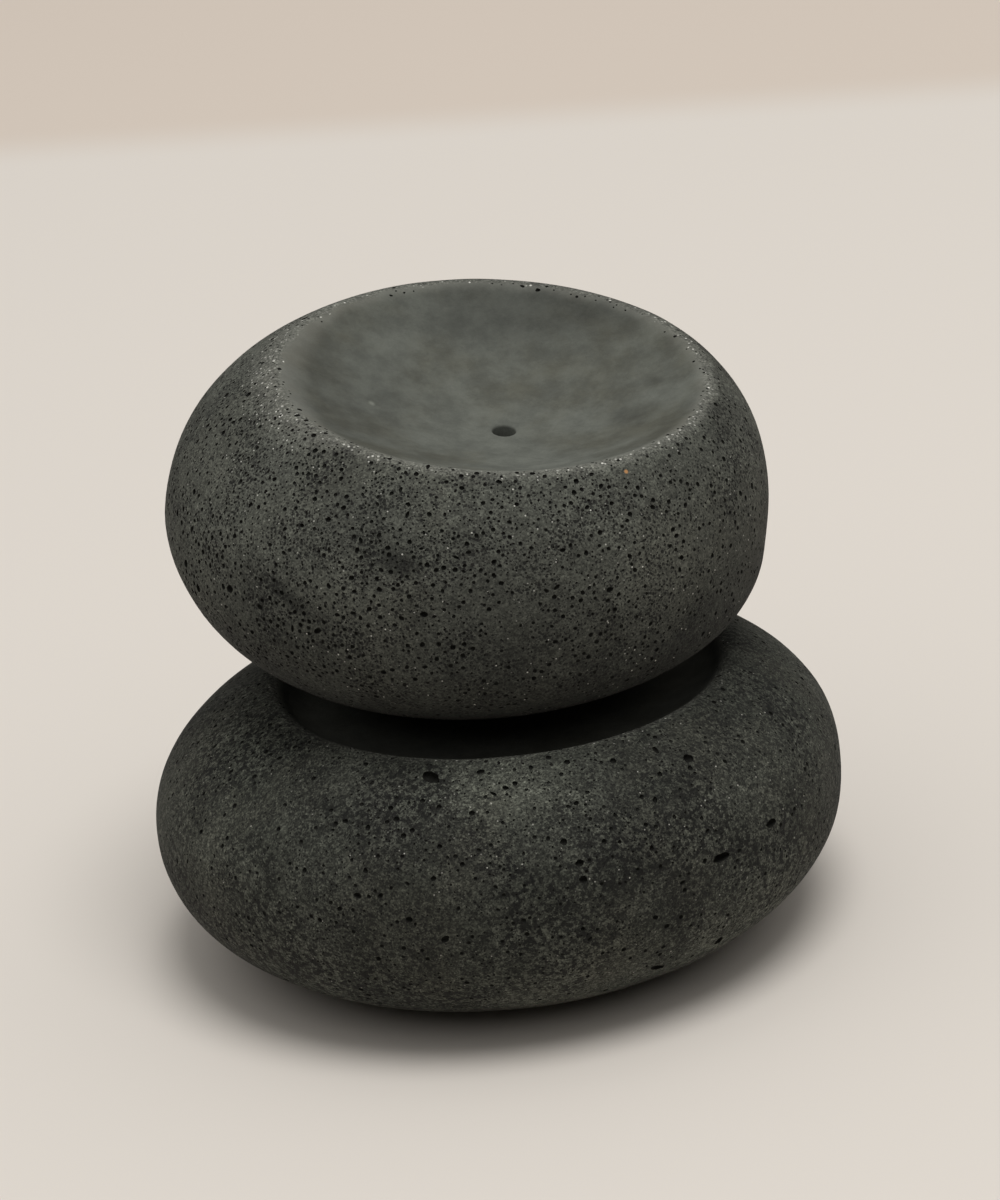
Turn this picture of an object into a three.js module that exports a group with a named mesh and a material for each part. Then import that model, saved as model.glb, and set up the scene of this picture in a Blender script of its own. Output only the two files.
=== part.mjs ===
// Incense holder made of two cast stones. The upper stone has a dish for ash with a
// hole for the stick, and its foot stands on the flat floor of the lower stone's seat.
// Millimetres, +Z up. The table is z = 0, and the front of the holder faces -Y.
import * as THREE from 'three';

const roundSteps = 72; // facets round each stone
const crownSteps = 15; // rings from the lip down to the widest part
const bellySteps = 13; // rings from the widest part down to the foot
const dishSteps = 9; // rings from the middle of the dish out to the lip
const lipSteps = 4; // rings over the rounded lip
const seatGap = 0.3; // room between the foot and the floor of the seat

// A tilt is [forwards, to the right] in degrees, and a shift is [right, back].
// A power of 2 makes an ellipse, and a higher power a squarer curve.
const lowerStone = {
  width: 91,
  crownRise: 22.9, // from the widest part up to where its curve would close
  crownPower: 2.19,
  bellyDrop: 22.1, // from the widest part down to where its curve would close
  bellyPower: 2.32,
  footWidth: 52, // flat that stands on the table
  lean: [-0.8, 0], // of the body on its foot
  lipTilt: [0.6, 0.6],
  lipShift: [2, -2.2],
  dishWidth: 59,
  dishDepth: 4.4,
  dishPower: 10, // 2 makes a round bowl, and more a flat floor with a steep side
  dishDrift: [0, 0], // from the middle of the lip to the lowest point
  lipRound: 1.6, // how far the lip is rounded on each side
  holeWidth: 0, // no hole in the seat
  holeDepth: 0,
  colour: 0x55544b,
};

const upperStone = {
  width: 78.4,
  crownRise: 28.1,
  crownPower: 2.39,
  bellyDrop: 23.5,
  bellyPower: 1.82,
  footWidth: 24, // flat that stands in the seat, or on a table by itself
  lean: [9.8, 8.1],
  lipTilt: [-2.2, -1.5],
  lipShift: [2.2, 0],
  dishWidth: 55.5,
  dishDepth: 8,
  dishPower: 2,
  dishDrift: [1.8, -1.6],
  lipRound: 1.4,
  holeWidth: 3, // takes a stick with a core of up to 2.5 mm
  holeDepth: 14,
  colour: 0x58584f,
};

// Where the foot stands in the seat, from the middle of its lip.
const footPlace = [-2.6, 6.7];

const mouthBevel = 0.3; // worn edge at the mouth of the stick hole
const tiltFade = 1.5; // the tilt of the lip dies away down the crown with this power

function tiltBy([forwards, right], share = 1) {
  const turnX = THREE.MathUtils.degToRad(forwards * share);
  const turnY = THREE.MathUtils.degToRad(right * share);
  return new THREE.Matrix4().makeRotationFromEuler(new THREE.Euler(turnX, turnY, 0, 'YXZ'));
}

function moveBy(x, y, z) {
  return new THREE.Matrix4().makeTranslation(x, y, z);
}

// Height of a curve that starts level with the widest part and closes on the axis.
function curveHeight(radius, halfWidth, rise, power) {
  const share = Math.min(radius / halfWidth, 1);
  return rise * (1 - share ** power) ** (1 / power);
}

// Points of that curve from the widest part in to innerRadius, evenly spread in angle.
function curvePoints(innerRadius, halfWidth, rise, power, steps) {
  const lastAngle = Math.acos((innerRadius / halfWidth) ** (power / 2));
  const points = [];
  for (let step = 0; step <= steps; step += 1) {
    const angle = (lastAngle * step) / steps;
    const radius = halfWidth * Math.cos(angle) ** (2 / power);
    points.push({ radius, height: rise * Math.sin(angle) ** (2 / power) });
  }
  return points;
}

// The heights and radii that follow from a stone's own dimensions.
// Heights are from the level of the widest part.
function derive(stone) {
  const half = stone.width / 2;
  const footRadius = stone.footWidth / 2;
  const lipRadius = stone.dishWidth / 2;
  const crownEnd = lipRadius + stone.lipRound;
  return {
    half,
    footRadius,
    lipRadius,
    crownEnd,
    footLevel: -curveHeight(footRadius, half, stone.bellyDrop, stone.bellyPower),
    lipLevel: curveHeight(lipRadius, half, stone.crownRise, stone.crownPower),
    crownEndLevel: curveHeight(crownEnd, half, stone.crownRise, stone.crownPower),
  };
}

function dishLevel(radius, stone, sizes) {
  const share = radius / sizes.lipRadius;
  return sizes.lipLevel - stone.dishDepth * (1 - share ** stone.dishPower);
}

// The place and tilt of the ring at a level, seen from the middle of the stone's foot.
// The foot is square to the stone's own Z. The body leans on it, and the lip tilts on
// the body.
function ringFrame(level, stone, sizes) {
  const footShare = THREE.MathUtils.clamp(level / sizes.footLevel, 0, 1) ** tiltFade;
  const lipShare = THREE.MathUtils.clamp(level / sizes.crownEndLevel, 0, 1) ** tiltFade;
  const [shiftX, shiftY] = stone.lipShift;
  return moveBy(0, 0, -sizes.footLevel)
    .multiply(tiltBy(stone.lean, 1 - footShare))
    .multiply(moveBy(shiftX * lipShare, shiftY * lipShare, level))
    .multiply(tiltBy(stone.lipTilt, lipShare));
}

// Rings of the stick hole and its worn mouth, from the middle of its floor outwards.
function holeRings(stone, sizes) {
  if (stone.holeWidth === 0) {
    return [{ radius: 0, height: dishLevel(0, stone, sizes) }];
  }
  const wall = stone.holeWidth / 2;
  const floor = dishLevel(0, stone, sizes) - stone.holeDepth;
  const mouth = wall + mouthBevel;
  return [
    { radius: 0, height: floor },
    { radius: wall, height: floor },
    { radius: wall, height: dishLevel(wall, stone, sizes) - mouthBevel },
    { radius: mouth, height: dishLevel(mouth, stone, sizes) },
  ];
}

// The rings lie closer together towards the lip, where the dish is steeper.
function dishRings(stone, sizes) {
  const first = stone.holeWidth / 2 + mouthBevel;
  const last = sizes.lipRadius - stone.lipRound;
  const rings = [];
  for (let step = 1; step <= dishSteps; step += 1) {
    const share = Math.sin((Math.PI / 2) * (step / dishSteps));
    const radius = first + (last - first) * share;
    rings.push({ radius, height: dishLevel(radius, stone, sizes) });
  }
  return rings;
}

// The lip is a curve that leaves the dish and meets the crown without a corner.
function lipRings(stone, sizes) {
  const inner = sizes.lipRadius - stone.lipRound;
  const lip = new THREE.QuadraticBezierCurve(
    new THREE.Vector2(inner, dishLevel(inner, stone, sizes)),
    new THREE.Vector2(sizes.lipRadius, sizes.lipLevel),
    new THREE.Vector2(sizes.crownEnd, sizes.crownEndLevel),
  );
  return lip.getPoints(lipSteps).slice(1, -1)
    .map((point) => ({ radius: point.x, height: point.y }));
}

// The whole section, from the axis in the hole or dish, over the lip and down to the foot.
function sectionRings(stone, sizes) {
  const inside = [
    ...holeRings(stone, sizes),
    ...dishRings(stone, sizes),
    ...lipRings(stone, sizes),
  ].map((ring) => ({ ...ring, onLip: true }));
  const crown = curvePoints(
    sizes.crownEnd, sizes.half, stone.crownRise, stone.crownPower, crownSteps,
  ).reverse();
  const belly = curvePoints(
    sizes.footRadius, sizes.half, stone.bellyDrop, stone.bellyPower, bellySteps,
  ).slice(1).map(({ radius, height }) => ({ radius, height: -height }));
  return [...inside, ...crown, ...belly, { radius: 0, height: sizes.footLevel }];
}

// The dish keeps its round lip, and its rings drift to its lowest point further in.
function driftAt(radius, stone, sizes) {
  const share = 1 - radius / sizes.lipRadius;
  return moveBy(stone.dishDrift[0] * share, stone.dishDrift[1] * share, 0);
}

function frameOf(ring, stone, sizes) {
  if (!ring.onLip) {
    return ringFrame(ring.height, stone, sizes);
  }
  return ringFrame(sizes.lipLevel, stone, sizes)
    .multiply(moveBy(0, 0, ring.height - sizes.lipLevel))
    .multiply(driftAt(ring.radius, stone, sizes));
}

// A lathe turned from the section, whose rings are then set in their own frames.
function stoneGeometry(stone, sizes) {
  const rings = sectionRings(stone, sizes);
  const profile = rings.map((ring) => new THREE.Vector2(ring.radius, 0)).reverse();
  const frames = rings.map((ring) => frameOf(ring, stone, sizes)).reverse();
  const geometry = new THREE.LatheGeometry(profile, roundSteps).rotateX(Math.PI / 2);
  const positions = geometry.getAttribute('position');
  const point = new THREE.Vector3();
  for (let index = 0; index < positions.count; index += 1) {
    point.fromBufferAttribute(positions, index).applyMatrix4(frames[index % frames.length]);
    positions.setXYZ(index, point.x, point.y, point.z);
  }
  geometry.computeVertexNormals();
  return geometry;
}

function makeStone(name, stone, sizes) {
  const material = new THREE.MeshStandardMaterial({
    color: stone.colour, roughness: 0.95, metalness: 0,
  });
  const mesh = new THREE.Mesh(stoneGeometry(stone, sizes), material);
  mesh.name = name;
  return mesh;
}

// The foot stands on the floor of the seat, level with its lip and seatGap clear of it.
function seatFrame() {
  const sizes = derive(lowerStone);
  const [right, back] = footPlace;
  return ringFrame(sizes.lipLevel, lowerStone, sizes)
    .multiply(moveBy(right, back, seatGap - lowerStone.dishDepth));
}

function buildHolder() {
  const seated = new THREE.Group();
  seated.add(makeStone('upper_stone', upperStone, derive(upperStone)));
  seated.applyMatrix4(seatFrame());

  const holder = new THREE.Group();
  holder.add(makeStone('lower_stone', lowerStone, derive(lowerStone)));
  holder.add(seated);
  return holder;
}

export default buildHolder();
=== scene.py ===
import math

import bpy
import mathutils
import numpy as np
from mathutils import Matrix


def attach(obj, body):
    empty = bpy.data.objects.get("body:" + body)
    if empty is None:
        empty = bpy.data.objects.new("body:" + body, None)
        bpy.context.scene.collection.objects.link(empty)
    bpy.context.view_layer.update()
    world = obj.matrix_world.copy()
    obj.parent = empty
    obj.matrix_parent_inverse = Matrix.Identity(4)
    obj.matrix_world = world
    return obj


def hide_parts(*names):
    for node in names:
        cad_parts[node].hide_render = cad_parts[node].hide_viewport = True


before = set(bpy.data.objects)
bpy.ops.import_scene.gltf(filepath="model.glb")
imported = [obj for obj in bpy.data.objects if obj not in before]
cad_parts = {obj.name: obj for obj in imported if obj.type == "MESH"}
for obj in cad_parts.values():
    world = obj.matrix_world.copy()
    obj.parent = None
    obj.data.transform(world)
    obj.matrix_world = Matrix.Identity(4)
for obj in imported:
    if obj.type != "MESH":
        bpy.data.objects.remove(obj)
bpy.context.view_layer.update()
print("frame loaded:", sorted(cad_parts))

mm = 0.001
scene = bpy.context.scene


# camera

cameraLook = {
    "elevation": 21.88,  # degrees above the table
    "roll": -6.11,  # degrees
    "distance": 0.6,
    "target": (0.00289, 0.0, 0.04539),
    "focalLength": 138.2,  # mm, on a sensor 36 mm high
}


def makeCamera(look):
    up = math.radians(look["elevation"])
    roll = math.radians(look["roll"])
    ahead = np.array([0, math.cos(up), -math.sin(up)])
    right = np.array([1.0, 0, 0])
    above = np.cross(right, ahead)
    place = np.eye(4)
    place[:3, 0] = math.cos(roll) * right + math.sin(roll) * above
    place[:3, 1] = math.cos(roll) * above - math.sin(roll) * right
    place[:3, 2] = -ahead
    place[:3, 3] = np.array(look["target"]) - ahead * look["distance"]
    data = bpy.data.cameras.new("camera")
    data.sensor_width = 36
    data.lens = look["focalLength"]
    data.clip_start = 0.01
    camera = bpy.data.objects.new("camera", data)
    camera.matrix_world = place.T.tolist()
    scene.collection.objects.link(camera)
    scene.camera = camera


makeCamera(cameraLook)
print("camera placed")


# node helpers

def linkUp(tree, source, target):
    # a number or colour goes into the socket, and a socket is linked to it
    if isinstance(source, bpy.types.NodeSocket):
        tree.links.new(source, target)
    else:
        target.default_value = source


def mathNode(tree, operation, first, second=0.5, clamp=False):
    node = tree.nodes.new("ShaderNodeMath")
    node.operation = operation
    node.use_clamp = clamp
    linkUp(tree, first, node.inputs[0])
    linkUp(tree, second, node.inputs[1])
    return node.outputs[0]


def rangeNode(tree, value, fromLow, fromHigh, toLow=0.0, toHigh=1.0, smooth=True):
    node = tree.nodes.new("ShaderNodeMapRange")
    node.interpolation_type = "SMOOTHSTEP" if smooth else "LINEAR"
    linkUp(tree, value, node.inputs["Value"])
    linkUp(tree, fromLow, node.inputs["From Min"])
    linkUp(tree, fromHigh, node.inputs["From Max"])
    linkUp(tree, toLow, node.inputs["To Min"])
    linkUp(tree, toHigh, node.inputs["To Max"])
    return node.outputs["Result"]


def plus(tree, first, second):
    return mathNode(tree, "ADD", first, second)


def minus(tree, first, second, clamp=False):
    return mathNode(tree, "SUBTRACT", first, second, clamp)


def times(tree, first, second, clamp=False):
    return mathNode(tree, "MULTIPLY", first, second, clamp)


def mixColour(tree, share, first, second, blend="MIX"):
    node = tree.nodes.new("ShaderNodeMix")
    node.data_type = "RGBA"
    node.blend_type = blend
    linkUp(tree, share, node.inputs["Factor"])
    linkUp(tree, first, node.inputs[6])
    linkUp(tree, second, node.inputs[7])
    return node.outputs[2]


def shadeBy(tree, tone, factor):
    return mixColour(tree, 1.0, tone, factor, "MULTIPLY")


def noiseNode(tree, coords, size, detail, roughness=0.55):
    # size is about the width of one blotch, in metres
    node = tree.nodes.new("ShaderNodeTexNoise")
    node.inputs["Scale"].default_value = 0.5 / size
    node.inputs["Detail"].default_value = detail
    node.inputs["Roughness"].default_value = roughness
    tree.links.new(coords, node.inputs["Vector"])
    return node.outputs["Fac"]


def cellNode(tree, coords, size):
    # distance in cells to the middle of the nearest cell, and two random numbers for that cell
    node = tree.nodes.new("ShaderNodeTexVoronoi")
    node.inputs["Scale"].default_value = 1.0 / size
    tree.links.new(coords, node.inputs["Vector"])
    split = tree.nodes.new("ShaderNodeSeparateColor")
    tree.links.new(node.outputs["Color"], split.inputs[0])
    return node.outputs["Distance"], split.outputs[0], split.outputs[1]


def shiftedCoords(tree, coords, shift):
    node = tree.nodes.new("ShaderNodeMapping")
    node.inputs["Location"].default_value = shift
    tree.links.new(coords, node.inputs["Vector"])
    return node.outputs[0]


def newMaterial(name, roughness, gloss):
    # a material with its shader, and the Object coordinates that its patterns read
    material = bpy.data.materials.new(name)
    material.use_nodes = True
    tree = material.node_tree
    shader = tree.nodes["Principled BSDF"]
    shader.inputs["Roughness"].default_value = roughness
    shader.inputs["Specular IOR Level"].default_value = gloss
    return material, shader, tree.nodes.new("ShaderNodeTexCoord").outputs["Object"]


# floor, light and background

studioLook = {
    "floorHalf": 8.0,
    "tableColour": (0.705, 0.655, 0.605, 1),
    "wallColour": (0.65, 0.568, 0.498, 1),
    "wallStart": 0.372,  # metres behind the holder where the far tone starts
    "wallFade": 0.03,
    "wallTurn": -0.152,  # metres back for each metre to the right
    "skyFill": 0.07,
    "skyColour": (1.0, 0.96, 0.86, 1),
    # power in watts, width and place of each round light
    "lights": {
        "frontSoftbox": (33.0, 1.4, (0.34, -0.60, 2.4)),
        "ceiling": (124.0, 8.6, (0.0, 0.0, 2.5)),
    },
    "lightColour": (1.0, 1.0, 0.985),
    "lightAim": (0, 0, 0.04),
}


def makeFloor(look):
    half = look["floorHalf"]
    corners = [(-half, -half, 0), (half, -half, 0), (half, half, 0), (-half, half, 0)]
    mesh = bpy.data.meshes.new("floor")
    mesh.from_pydata(corners, [], [(0, 1, 2, 3)])
    floor = bpy.data.objects.new("floor", mesh)
    scene.collection.objects.link(floor)
    material, shader, coords = newMaterial("paleFloor", 0.95, 0.1)
    tree = material.node_tree
    split = tree.nodes.new("ShaderNodeSeparateXYZ")
    tree.links.new(coords, split.inputs[0])
    back = minus(tree, split.outputs["Y"], times(tree, split.outputs["X"], look["wallTurn"]))
    far = rangeNode(tree, back, look["wallStart"], look["wallStart"] + look["wallFade"])
    tone = mixColour(tree, far, look["tableColour"], look["wallColour"])
    tree.links.new(tone, shader.inputs["Base Color"])
    mesh.materials.append(material)


def makeLights(look):
    for name, (power, width, place) in look["lights"].items():
        data = bpy.data.lights.new(name, "AREA")
        data.shape = "DISK"
        data.size = width
        data.energy = power
        data.color = look["lightColour"]
        light = bpy.data.objects.new(name, data)
        light.location = place
        light.rotation_euler = anglesAlong(np.subtract(look["lightAim"], place))
        scene.collection.objects.link(light)


def anglesAlong(direction):
    # the turn that points an object's -Z along a direction
    x, y, z = direction / np.linalg.norm(direction)
    return (math.acos(-z), 0, math.atan2(y, x) - math.pi / 2)


def makeWorld(look):
    # an even fill, and a pale colour for what looks past the floor
    world = bpy.data.worlds.new("studio")
    scene.world = world
    world.use_nodes = True
    nodes = world.node_tree.nodes
    links = world.node_tree.links
    nodes.clear()
    output = nodes.new("ShaderNodeOutputWorld")
    mix = nodes.new("ShaderNodeMixShader")
    fill = nodes.new("ShaderNodeBackground")
    fill.inputs["Color"].default_value = look["skyColour"]
    fill.inputs["Strength"].default_value = look["skyFill"]
    seen = nodes.new("ShaderNodeBackground")
    seen.inputs["Color"].default_value = look["wallColour"]
    path = nodes.new("ShaderNodeLightPath")
    both = nodes.new("ShaderNodeMath")
    both.operation = "MAXIMUM"
    links.new(path.outputs["Is Camera Ray"], both.inputs[0])
    links.new(path.outputs["Is Transmission Ray"], both.inputs[1])
    links.new(both.outputs[0], mix.inputs[0])
    links.new(fill.outputs[0], mix.inputs[1])
    links.new(seen.outputs[0], mix.inputs[2])
    links.new(mix.outputs[0], output.inputs[0])


makeFloor(studioLook)
makeLights(studioLook)
makeWorld(studioLook)
scene.view_settings.view_transform = "Standard"
print("floor, light and background made")


# the form of the two stones, in millimetres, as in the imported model

lowerForm = {
    "width": 91.0,
    "crownRise": 22.9,
    "crownPower": 2.19,
    "bellyDrop": 22.1,
    "bellyPower": 2.32,
    "footWidth": 52.0,
    "lean": (-0.8, 0.0),  # degrees forwards and to the right
    "lipTilt": (0.6, 0.6),
    "lipShift": (2.0, -2.2),  # right and back
    "dishWidth": 59.0,
    "dishDepth": 4.4,
    "dishPower": 10,  # a flat floor with a steep side
    "dishDrift": (0.0, 0.0),
    "lipRound": 1.6,
    "holeWidth": 0.0,
    "holeDepth": 0.0,
}

upperForm = {
    "width": 78.4,
    "crownRise": 28.1,
    "crownPower": 2.39,
    "bellyDrop": 23.5,
    "bellyPower": 1.82,
    "footWidth": 24.0,
    "lean": (9.8, 8.1),
    "lipTilt": (-2.2, -1.5),
    "lipShift": (2.2, 0.0),
    "dishWidth": 55.5,
    "dishDepth": 8.0,
    "dishPower": 2,  # a round bowl
    "dishDrift": (1.8, -1.6),
    "lipRound": 1.4,
    "holeWidth": 3.0,
    "holeDepth": 14.0,
}

seatForm = {
    "footPlace": (-2.6, 6.7),  # right and back from the middle of the lip
    "gap": 0.3,
}

mouthBevel = 0.3  # worn edge at the mouth of the stick hole
tiltFade = 1.5  # the lean and the tilt of the lip die away with this power

# the parts of a stone, as the numbers that its rings carry
partNumber = {"hole": 0, "dish": 1, "lip": 2, "crown": 3, "belly": 4, "foot": 5}


def moveBy(x, y, z):
    # 4 x 4 moves, one for each number in x, y or z
    x, y, z = np.broadcast_arrays(*[np.asarray(v, float) for v in (x, y, z)])
    moves = np.zeros(x.shape + (4, 4))
    moves[..., range(4), range(4)] = 1
    moves[..., 0, 3], moves[..., 1, 3], moves[..., 2, 3] = x, y, z
    return moves


def tiltBy(tilt, share=1.0):
    # a turn about X by the forward tilt, and then a turn about Y by the tilt to the right
    share = np.asarray(share, float)
    forwards, right = np.radians(tilt[0] * share), np.radians(tilt[1] * share)
    turnX, turnY = moveBy(0 * share, 0, 0), moveBy(0 * share, 0, 0)
    turnX[..., 1, 1] = turnX[..., 2, 2] = np.cos(forwards)
    turnX[..., 2, 1] = np.sin(forwards)
    turnX[..., 1, 2] = -np.sin(forwards)
    turnY[..., 0, 0] = turnY[..., 2, 2] = np.cos(right)
    turnY[..., 0, 2] = np.sin(right)
    turnY[..., 2, 0] = -np.sin(right)
    return turnY @ turnX


def curveHeight(radius, half, rise, power):
    # (height / rise) ** power + (radius / half) ** power = 1
    return rise * (1 - np.minimum(radius / half, 1) ** power) ** (1 / power)


def curveRings(inner, half, rise, power, steps):
    # points of that curve from the widest part in to a radius, evenly spread in angle
    last = math.acos((inner / half) ** (power / 2))
    angle = np.linspace(0, last, steps + 1)
    return half * np.cos(angle) ** (2 / power), rise * np.sin(angle) ** (2 / power)


def deriveSizes(form):
    half, foot, lip = form["width"] / 2, form["footWidth"] / 2, form["dishWidth"] / 2
    crownEnd = lip + form["lipRound"]
    return {
        "half": half,
        "foot": foot,
        "lip": lip,
        "crownEnd": crownEnd,
        "footLevel": -curveHeight(foot, half, form["bellyDrop"], form["bellyPower"]),
        "lipLevel": curveHeight(lip, half, form["crownRise"], form["crownPower"]),
        "crownEndLevel": curveHeight(crownEnd, half, form["crownRise"], form["crownPower"]),
    }


def dishLevel(radius, form, sizes):
    # lip level - depth x (1 - (radius / lip radius) ** power)
    share = np.asarray(radius, float) / sizes["lip"]
    return sizes["lipLevel"] - form["dishDepth"] * (1 - share ** form["dishPower"])


def ringFrames(level, form, sizes):
    # rings lean with the body, and move and tilt with the lip, more so the nearer they are to it
    level = np.asarray(level, float)
    footShare = np.clip(level / sizes["footLevel"], 0, 1) ** tiltFade
    lipShare = np.clip(level / sizes["crownEndLevel"], 0, 1) ** tiltFade
    shiftX, shiftY = form["lipShift"]
    return (moveBy(0, 0, -sizes["footLevel"]) @ tiltBy(form["lean"], 1 - footShare)
            @ moveBy(shiftX * lipShare, shiftY * lipShare, level) @ tiltBy(form["lipTilt"], lipShare))


def ringSet(part, radius, height):
    return radius, height, np.full(len(radius), partNumber[part])


def holeRings(form, sizes, steps):
    # the floor of the stick hole, with one ring between, its wall and a quarter circle over its mouth
    wall = form["holeWidth"] / 2
    bottom = float(dishLevel(0, form, sizes))
    if wall == 0:
        return ringSet("dish", np.array([0.0]), np.array([bottom]))
    floor = bottom - form["holeDepth"]
    side = np.linspace(floor, dishLevel(wall, form, sizes) - mouthBevel, steps["hole"] + 1)
    turn = np.linspace(0, math.pi / 2, steps["mouth"] + 1)[1:]
    mouthRadius = wall + mouthBevel * (1 - np.cos(turn))
    mouthLevel = float(dishLevel(wall + mouthBevel, form, sizes))
    mouthHeight = mouthLevel - mouthBevel * (1 - np.sin(turn))
    radius = np.concatenate([[0, wall * 0.6], np.full(len(side), wall), mouthRadius])
    return ringSet("hole", radius, np.concatenate([[floor, floor], side, mouthHeight]))


def dishRings(form, sizes, steps):
    # the rings lie closer together towards the lip, where the dish is steeper
    first = form["holeWidth"] / 2 + mouthBevel
    last = sizes["lip"] - form["lipRound"]
    radius = first + (last - first) * np.sin(np.linspace(0, math.pi / 2, steps["dish"] + 1)[1:])
    return ringSet("dish", radius, dishLevel(radius, form, sizes))


def lipRings(form, sizes, steps):
    # (1 - t) ** 2 x the end of the dish + 2 t (1 - t) x the lip + t ** 2 x the start of the crown
    inner = sizes["lip"] - form["lipRound"]
    ends = np.array([
        (inner, float(dishLevel(inner, form, sizes))),
        (sizes["lip"], sizes["lipLevel"]),
        (sizes["crownEnd"], sizes["crownEndLevel"]),
    ])
    t = np.linspace(0, 1, steps["lip"] + 1)[1:-1]
    radius, height = np.stack([(1 - t) ** 2, 2 * t * (1 - t), t ** 2], 1).dot(ends).T
    return ringSet("lip", radius, height)


def outerRings(form, sizes, steps):
    # the crown from the lip down to the widest part, then the belly and the flat foot
    crownRadius, crownHeight = curveRings(
        sizes["crownEnd"], sizes["half"], form["crownRise"], form["crownPower"], steps["crown"])
    bellyRadius, bellyHeight = curveRings(
        sizes["foot"], sizes["half"], form["bellyDrop"], form["bellyPower"], steps["belly"])
    footRadius = np.linspace(sizes["foot"], 0, steps["foot"] + 1)[1:]
    return [
        ringSet("crown", crownRadius[::-1], crownHeight[::-1]),
        ringSet("belly", bellyRadius[1:], -bellyHeight[1:]),
        ringSet("foot", footRadius, np.full(len(footRadius), sizes["footLevel"])),
    ]


def sectionRings(form, sizes, steps):
    # radius, height and part of each ring, from the axis out over the lip and down to the foot
    inside = [rings(form, sizes, steps) for rings in (holeRings, dishRings, lipRings)]
    return [np.concatenate(column) for column in zip(*inside, *outerRings(form, sizes, steps))]


def stoneGrid(form, seat, steps):
    # a grid of points, one row for each ring and one column for each turn:
    # the ring's frame x (radius x cosine, radius x sine, 0)
    sizes = deriveSizes(form)
    radius, height, part = sectionRings(form, sizes, steps)
    frames = ringFrames(height, form, sizes)
    onLip = part <= partNumber["lip"]
    drift = 1 - radius[onLip] / sizes["lip"]
    driftX, driftY = form["dishDrift"]
    frames[onLip] = (ringFrames(sizes["lipLevel"], form, sizes)
                     @ moveBy(0, 0, height[onLip] - sizes["lipLevel"])
                     @ moveBy(driftX * drift, driftY * drift, 0))
    turn = np.arange(steps["round"]) / steps["round"] * 2 * math.pi
    flat = np.zeros((len(radius), steps["round"], 4))
    flat[..., 0] = np.outer(radius, np.cos(turn))
    flat[..., 1] = np.outer(radius, np.sin(turn))
    flat[..., 3] = 1
    return np.einsum("rij,raj->rai", seat @ frames, flat)[..., :3], part


def gridNormals(points):
    # the cross product of the steps round a ring and from ring to ring, pointing out of the stone,
    # and the area that each point stands for
    around = np.roll(points, -1, 1) - np.roll(points, 1, 1)
    across = np.gradient(points, axis=0)
    normals = np.cross(around, across)
    lengths = np.linalg.norm(normals, axis=-1, keepdims=True)
    return -normals / np.maximum(lengths, 1e-9), lengths[..., 0] / 2


def waves(points, size, seed):
    # smooth noise from -1 to 1: the sum of plane waves with random directions, lengths and starts
    count, tallest = 20, 6.3
    draw = np.random.default_rng(seed)
    directions = draw.normal(size=(count, 3))
    directions /= np.linalg.norm(directions, axis=1, keepdims=True)
    lengths = size * draw.uniform(0.7, 1.5, count)
    starts = draw.uniform(0, 2 * math.pi, count)
    total = np.zeros(points.shape[:-1])
    for direction, length, start in zip(directions, lengths, starts):
        total += np.cos(points @ direction * (2 * math.pi / length) + start)
    return np.clip(total / tallest, -1, 1)


def sinkBy(points, normals, part, look):
    # hand-cast unevenness, inwards only, and none at the foot and in the hole
    broad = waves(points, look["waveSize"], look["seed"])
    fine = waves(points, look["waveSize"] / 3, look["seed"] + 1)
    plain = (part == partNumber["hole"]) | (part == partNumber["foot"])
    fade = np.where(plain, 0.0, 1.0)[:, None]
    depth = look["waveDepth"] * (0.5 + 0.5 * (0.6 * broad + 0.4 * fine)) * fade
    return points - normals * depth[..., None]


def ringQuads(rings, around):
    # the quads between neighbouring rings of a grid
    column = np.arange(around)
    after = (column + 1) % around
    row = np.arange(rings - 1)[:, None] * around
    corners = [row + column, row + after, row + around + after, row + around + column]
    return np.stack(corners, -1).reshape(-1, 4)


def gridMesh(name, points):
    # the first and last rings close on single points
    rings, around = points.shape[:2]
    vertices = np.concatenate([points[0, :1], points[1:-1].reshape(-1, 3), points[-1, :1]])
    column = np.arange(around)
    after = (column + 1) % around
    last = 1 + (rings - 3) * around
    firstFan = np.stack([np.zeros(around, int), 1 + after, 1 + column], -1)
    lastFan = np.stack([np.full(around, len(vertices) - 1), last + column, last + after], -1)
    quads = 1 + ringQuads(rings - 2, around)
    return meshFrom(name, vertices * mm, [quads[:, ::-1], firstFan[:, ::-1], lastFan[:, ::-1]])


def meshFrom(name, vertices, faceSets, materialIndex=0):
    mesh = bpy.data.meshes.new(name)
    loops = np.concatenate([faces.ravel() for faces in faceSets]).astype(np.int32)
    counts = np.concatenate([np.full(len(faces), faces.shape[1]) for faces in faceSets])
    starts = np.concatenate([[0], np.cumsum(counts)[:-1]]).astype(np.int32)
    mesh.vertices.add(len(vertices))
    mesh.vertices.foreach_set("co", np.asarray(vertices, np.float32).ravel())
    mesh.loops.add(len(loops))
    mesh.loops.foreach_set("vertex_index", loops)
    mesh.polygons.add(len(counts))
    mesh.polygons.foreach_set("loop_start", starts)
    mesh.polygons.foreach_set("material_index", np.full(len(counts), materialIndex, np.int32))
    mesh.update(calc_edges=True)
    mesh.validate()
    return mesh


# air bubbles cut open by the surface

# widest opening in mm, sides, rings as (radius, depth) in half-widths, and the depth of the bottom
poreTiers = [
    (0.42, 6, ((1.12, 0.18),), -1.3),
    (0.62, 7, ((1.03, 0.45), (1.03, -0.5)), -1.2),
    (0.95, 10, ((0.93, 0.45), (1.07, -0.4), (0.74, -0.95)), -1.25),
    (9.0, 16, ((0.9, 0.42), (1.05, -0.12), (1.08, -0.45), (0.86, -0.85), (0.46, -1.12)), -1.2),
]

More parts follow.
